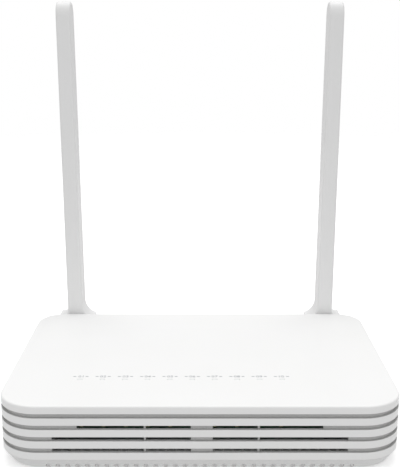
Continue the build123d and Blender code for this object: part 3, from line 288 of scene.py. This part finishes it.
# ---- network, phone and power sockets ----
# The sockets are moulded polyester, coloured by what plugs in: yellow for the network,
# grey for the telephone and black for power.
yellow_polyester = finish("yellow_moulded_polyester", "#DDA32A", "#D49A20", 4.0, (0.32, 0.44),
                          0.4, 0.008, IOR=1.57)
dress(yellow_polyester, "lan_jacks")
grey_polyester = finish("grey_moulded_polyester", "#94969A", "#8A8C90", 4.0, (0.32, 0.44),
                        0.4, 0.008, IOR=1.57)
dress(grey_polyester, "phone_jack")
black_polyester = finish("black_moulded_polyester", "#1C1C1E", "#232325", 4.0, (0.32, 0.46),
                         0.4, 0.008, IOR=1.57)
dress(black_polyester, "power_jack", "power_switch", "wlan_switch", "wps_switch",
      "reset_switch", "reset_button")


# ---- antenna leads ----
# A thin coaxial lead runs from each antenna through its hollow hinge pin to the board.
# Black fluoropolymer jacket, IOR 1.35: slick, with a slight sheen.
lead_jacket = finish("black_lead_jacket", "#1A1A1B", "#222223", 3.0, (0.30, 0.42), 0.4, 0.005,
                     IOR=1.35)
dress(lead_jacket, "case_lead_left", "case_lead_right", "antenna_lead_left",
      "antenna_lead_right")


# ---- rear panel ----
# A separate white moulding is slid in between the covers and frames the sockets. Numbers
# over the network sockets are pad-printed in grey.
dress(white_abs, "rear_panel")
INK_FILM = 0.03 * MM
INK_WELD = 0.001 * MM
LETTER_STEPS = 3


def ink_strokes(mesh_name, marks, place):
    """Printed marks as one thin film. Each mark is a text, its height and its middle in
    the print's own plane; a text of None is a plain bar, whose height is (width, height)."""
    film = bmesh.new()
    for text, height, middle in marks:
        before = set(film.verts)
        if text is None:
            corners = [film.verts.new((x * height[0] / 2, y * height[1] / 2, 0))
                       for x, y in ((-1, -1), (1, -1), (1, 1), (-1, 1))]
            film.faces.new(corners)
        else:
            letters = bpy.data.curves.new(mesh_name + "_text", "FONT")
            letters.body = text
            letters.size = height
            letters.align_x = "CENTER"
            letters.align_y = "CENTER"
            letters.resolution_u = LETTER_STEPS
            holder = bpy.data.objects.new(mesh_name + "_text", letters)
            shape = bpy.data.meshes.new_from_object(holder)
            film.from_mesh(shape)
            bpy.data.objects.remove(holder)
            bpy.data.meshes.remove(shape)
            bpy.data.curves.remove(letters)
        new = [v for v in film.verts if v not in before]
        low = Vector([min(v.co[i] for v in new) for i in range(3)])
        high = Vector([max(v.co[i] for v in new) for i in range(3)])
        shift = Vector((middle[0], middle[1], 0)) - (low + high) / 2
        bmesh.ops.translate(film, verts=new, vec=shift)
    bmesh.ops.remove_doubles(film, verts=film.verts, dist=INK_WELD)
    top = bmesh.ops.extrude_face_region(film, geom=film.faces[:])
    bmesh.ops.translate(film, verts=[v for v in top["geom"] if isinstance(v, bmesh.types.BMVert)],
                        vec=(0, 0, INK_FILM))
    bmesh.ops.recalc_face_normals(film, faces=film.faces[:])
    bmesh.ops.transform(film, matrix=place, verts=film.verts)
    mesh = bpy.data.meshes.new(mesh_name)
    film.to_mesh(mesh)
    film.free()
    printed = bpy.data.objects.new(mesh_name, mesh)
    bpy.context.scene.collection.objects.link(printed)
    return printed


# Pad-printing ink, IOR 1.5: a thin matte grey film, a little patchy at its edges.
grey_ink = finish("grey_pad_print", "#8C8F94", "#989B9F", 1.5, (0.48, 0.60), 0.3, 0.004,
                  IOR=1.5)
PORT_COUNT = 4
PORT_PITCH = 13.97 * MM
PORT_NUMBER_HEIGHT = 2.4 * MM
PORT_NUMBER_RISE = 1.5 * MM
jack_low, jack_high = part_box("lan_jacks")
panel_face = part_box("rear_panel")[1].y
middle_x = (jack_low.x + jack_high.x) / 2
first_x = middle_x - PORT_PITCH * (PORT_COUNT - 1) / 2
from_behind = Matrix.Translation((0, panel_face, 0)) @ Matrix(
    ((-1, 0, 0, 0), (0, 0, 1, 0), (0, 1, 0, 0), (0, 0, 0, 1)))
port_numbers = ink_strokes(
    "port_numbers",
    [(str(i + 1), PORT_NUMBER_HEIGHT,
      (-(first_x + i * PORT_PITCH), jack_high.z + PORT_NUMBER_RISE)) for i in range(PORT_COUNT)],
    from_behind)
port_numbers.data.materials.append(grey_ink)
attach(port_numbers, "housing")


# ---- top cover ----
# The lid and the ribbed walls are one moulding of the same white ABS. A row of numbered
# marks behind the light windows says which light is which.
dress(white_abs, "top_cover")
LIGHT_COUNT = 10
LIGHT_PITCH = 10.07 * MM
MARK_SETBACK = 3.4 * MM
MARK_HEIGHT = 2.9 * MM
BAR = (1.3 * MM, 0.55 * MM)
BAR_OFFSET = 2.75 * MM
pipe_low, pipe_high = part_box("light_pipe")
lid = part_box("top_cover")[1].z
row_x = (pipe_low.x + pipe_high.x) / 2
row_y = (pipe_low.y + pipe_high.y) / 2 + MARK_SETBACK
marks = []
for i in range(LIGHT_COUNT):
    x = row_x + (i - (LIGHT_COUNT - 1) / 2) * LIGHT_PITCH
    marks.append((f"{i + 1:02d}", MARK_HEIGHT, (x, row_y)))
    marks += [(None, BAR, (x + side * BAR_OFFSET, row_y)) for side in (-1, 1)]
light_numbers = ink_strokes("light_numbers", marks, Matrix.Translation((0, 0, lid)))
light_numbers.data.materials.append(grey_ink)
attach(light_numbers, "housing")


# ---- antennas ----
# Each antenna is two thin mouldings clipped round the radiator, hung on a hollow pin
# between ears at the rear corner. The ABS is drier than the case's.
# Its white is set a little darker than the case's, though it is the same plastic: painted shade, in
# place of the shade that darkens the antennas' faces towards the lid.
antenna_abs = finish("antenna_abs_spark_eroded", "#E2E2E2", "#DEDEDE", 30.0, (0.46, 0.54),
                     0.6, 0.012, edge=0.2, IOR=1.54)
dress(antenna_abs, "antenna_shell_left", "antenna_cover_left", "antenna_shell_right",
      "antenna_cover_right")
# Acetal, IOR 1.48: the slippery, slightly waxy white of a bearing pin.
acetal = finish("turned_acetal", "#DEDEDD", "#D6D6D5", 3.0, (0.26, 0.36), 0.4, 0.004, IOR=1.48)
dress(acetal, "hinge_pin_left", "hinge_pin_right")


# ---- buttons ----
# The caps are small ABS mouldings that the fingers have polished a little.
button_abs = finish("button_abs_satin", "#E4E4E3", "#DDDDDC", 3.0, (0.34, 0.44), 0.5, 0.006,
                    edge=0.2, IOR=1.54)
dress(button_abs, "power_button", "wlan_button", "wps_button")


# ---- floor ----
# A matte white table top, far wider than the part; it fades out round its rim into the
# pale surroundings.
FLOOR_RADIUS = 1.6
FLOOR_RINGS = 12
FLOOR_SPOKES = 72
RING_SPREAD = 1.5  # above 1, the rings are closer together near the part
FADE_START, FADE_END = 0.45, 1.2
FLOOR_GLOW = 0.18
disc = bmesh.new()
centre = disc.verts.new((0, 0, 0))
rings = []
for i in range(1, FLOOR_RINGS + 1):
    r = FLOOR_RADIUS * (i / FLOOR_RINGS) ** RING_SPREAD
    rings.append([disc.verts.new((r * math.cos(2 * math.pi * k / FLOOR_SPOKES),
                                  r * math.sin(2 * math.pi * k / FLOOR_SPOKES), 0))
                  for k in range(FLOOR_SPOKES)])
for k in range(FLOOR_SPOKES):
    after = (k + 1) % FLOOR_SPOKES
    disc.faces.new((centre, rings[0][k], rings[0][after]))
    for inner, outer in zip(rings, rings[1:]):
        disc.faces.new((inner[k], outer[k], outer[after], inner[after]))
floor_mesh = bpy.data.meshes.new("floor")
disc.to_mesh(floor_mesh)
disc.free()
floor = bpy.data.objects.new("floor", floor_mesh)
bpy.context.scene.collection.objects.link(floor)
# The table throws no light back up; the lower half of the tent stands in for it.
floor.visible_diffuse = False
table_top = bpy.data.materials.new("matte_white_table")
table_top.use_nodes = True
tree = table_top.node_tree
tree.nodes.clear()
place = add(tree, "ShaderNodeTexCoord")
reach = add(tree, "ShaderNodeVectorMath", links={0: place.outputs["Object"]}, operation="LENGTH")
fade = add(tree, "ShaderNodeMapRange", {"From Min": FADE_START, "From Max": FADE_END},
           {"Value": reach.outputs["Value"]}, interpolation_type="SMOOTHSTEP")
top = add(tree, "ShaderNodeBsdfPrincipled",
          {"Base Color": linear("#FAFAFA"), "Roughness": 0.9, "Specular IOR Level": 0.0,
           "Emission Color": linear("#FFFFFF"), "Emission Strength": FLOOR_GLOW})
clear = add(tree, "ShaderNodeBsdfTransparent")
mixed = add(tree, "ShaderNodeMixShader",
            links={0: fade.outputs[0], 1: top.outputs[0], 2: clear.outputs[0]})
add(tree, "ShaderNodeOutputMaterial", links={"Surface": mixed.outputs[0]})
floor_mesh.materials.append(table_top)
# The tent's light reaches the case's underside only round its edge: the table right under
# the case keeps it out of the slots.
CARD_INSET = 9 * MM
CARD_LIFT = 0.1 * MM
base_low, base_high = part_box("bottom_cover")
card_mesh = bpy.data.meshes.new("floor_under_case")
card_mesh.from_pydata(
    [(x, y, CARD_LIFT) for x, y in (
        (base_low.x + CARD_INSET, base_low.y + CARD_INSET),
        (base_high.x - CARD_INSET, base_low.y + CARD_INSET),
        (base_high.x - CARD_INSET, base_high.y - CARD_INSET),
        (base_low.x + CARD_INSET, base_high.y - CARD_INSET))], [], [(0, 1, 2, 3)])
card_mesh.materials.append(table_top)
card = bpy.data.objects.new("floor_under_case", card_mesh)
bpy.context.scene.collection.objects.link(card)


# ---- studio light ----
# A white light tent all round, dimmer from below where the table returns less light, and
# a weak soft box in front and a strong one behind, over the lid.
TENT_LEVEL = 0.86
TABLE_LEVEL = 0.56
HORIZON_BLUR = 0.15
BOX_WIDTH = 1.2


def soft_box(name, at, towards, size, power):
    """A rectangular soft box."""
    light = bpy.data.lights.new(name, "AREA")
    light.shape = "RECTANGLE"
    light.size, light.size_y = size
    light.energy = power
    box = bpy.data.objects.new(name, light)
    box.location = at
    box.rotation_euler = (Vector(towards) - Vector(at)).to_track_quat("-Z", "Y").to_euler()
    bpy.context.scene.collection.objects.link(box)


soft_box("front_box", (0, -1.05, 0.72), (0, 0, 0.06), (BOX_WIDTH, 0.7), 2.0)
soft_box("rear_box", (0, 0.50, 1.15), (0, 0, 0.03), (BOX_WIDTH, 0.6), 5.4)
world = bpy.data.worlds.new("studio")
bpy.context.scene.world = world
world.use_nodes = True
tree = world.node_tree
tree.nodes.clear()
ray = add(tree, "ShaderNodeLightPath")
sky = add(tree, "ShaderNodeTexCoord")
height = add(tree, "ShaderNodeSeparateXYZ", links={0: sky.outputs["Generated"]})
level = add(tree, "ShaderNodeMapRange", {"From Min": -HORIZON_BLUR, "From Max": HORIZON_BLUR,
                                         "To Min": TABLE_LEVEL, "To Max": TENT_LEVEL},
            {"Value": height.outputs["Z"]})
surround = add(tree, "ShaderNodeBackground", {"Color": linear("#FFFFFF")},
               {"Strength": level.outputs[0]})
backdrop = add(tree, "ShaderNodeBackground", {"Color": linear("#FFFFFF"), "Strength": 1.0})
seen = add(tree, "ShaderNodeMixShader",
           links={0: ray.outputs["Is Camera Ray"], 1: surround.outputs[0],
                  2: backdrop.outputs[0]})
add(tree, "ShaderNodeOutputWorld", links={"Surface": seen.outputs[0]})
bpy.context.scene.view_settings.view_transform = "Standard"


# ---- camera ----
# In front of the part and a little above its lid, looking slightly down. Its place and
# focal length belong together: both come from one fit, with the case taken as 173 mm wide.
CAMERA_BEFORE_FRONT = 334.51 * MM
CAMERA_OVER_LID = 154.08 * MM
CAMERA_DIP = 13.445
FOCAL_LENGTH = 66.89
SENSOR_WIDTH = 36.0
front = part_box("top_cover")[0].y
lens = bpy.data.cameras.new("camera")
lens.lens = FOCAL_LENGTH
lens.sensor_width = SENSOR_WIDTH
camera = bpy.data.objects.new("camera", lens)
camera.location = (0, front - CAMERA_BEFORE_FRONT, lid + CAMERA_OVER_LID)
camera.rotation_euler = (math.radians(90 - CAMERA_DIP), 0, 0)
bpy.context.scene.collection.objects.link(camera)
bpy.context.scene.camera = camera
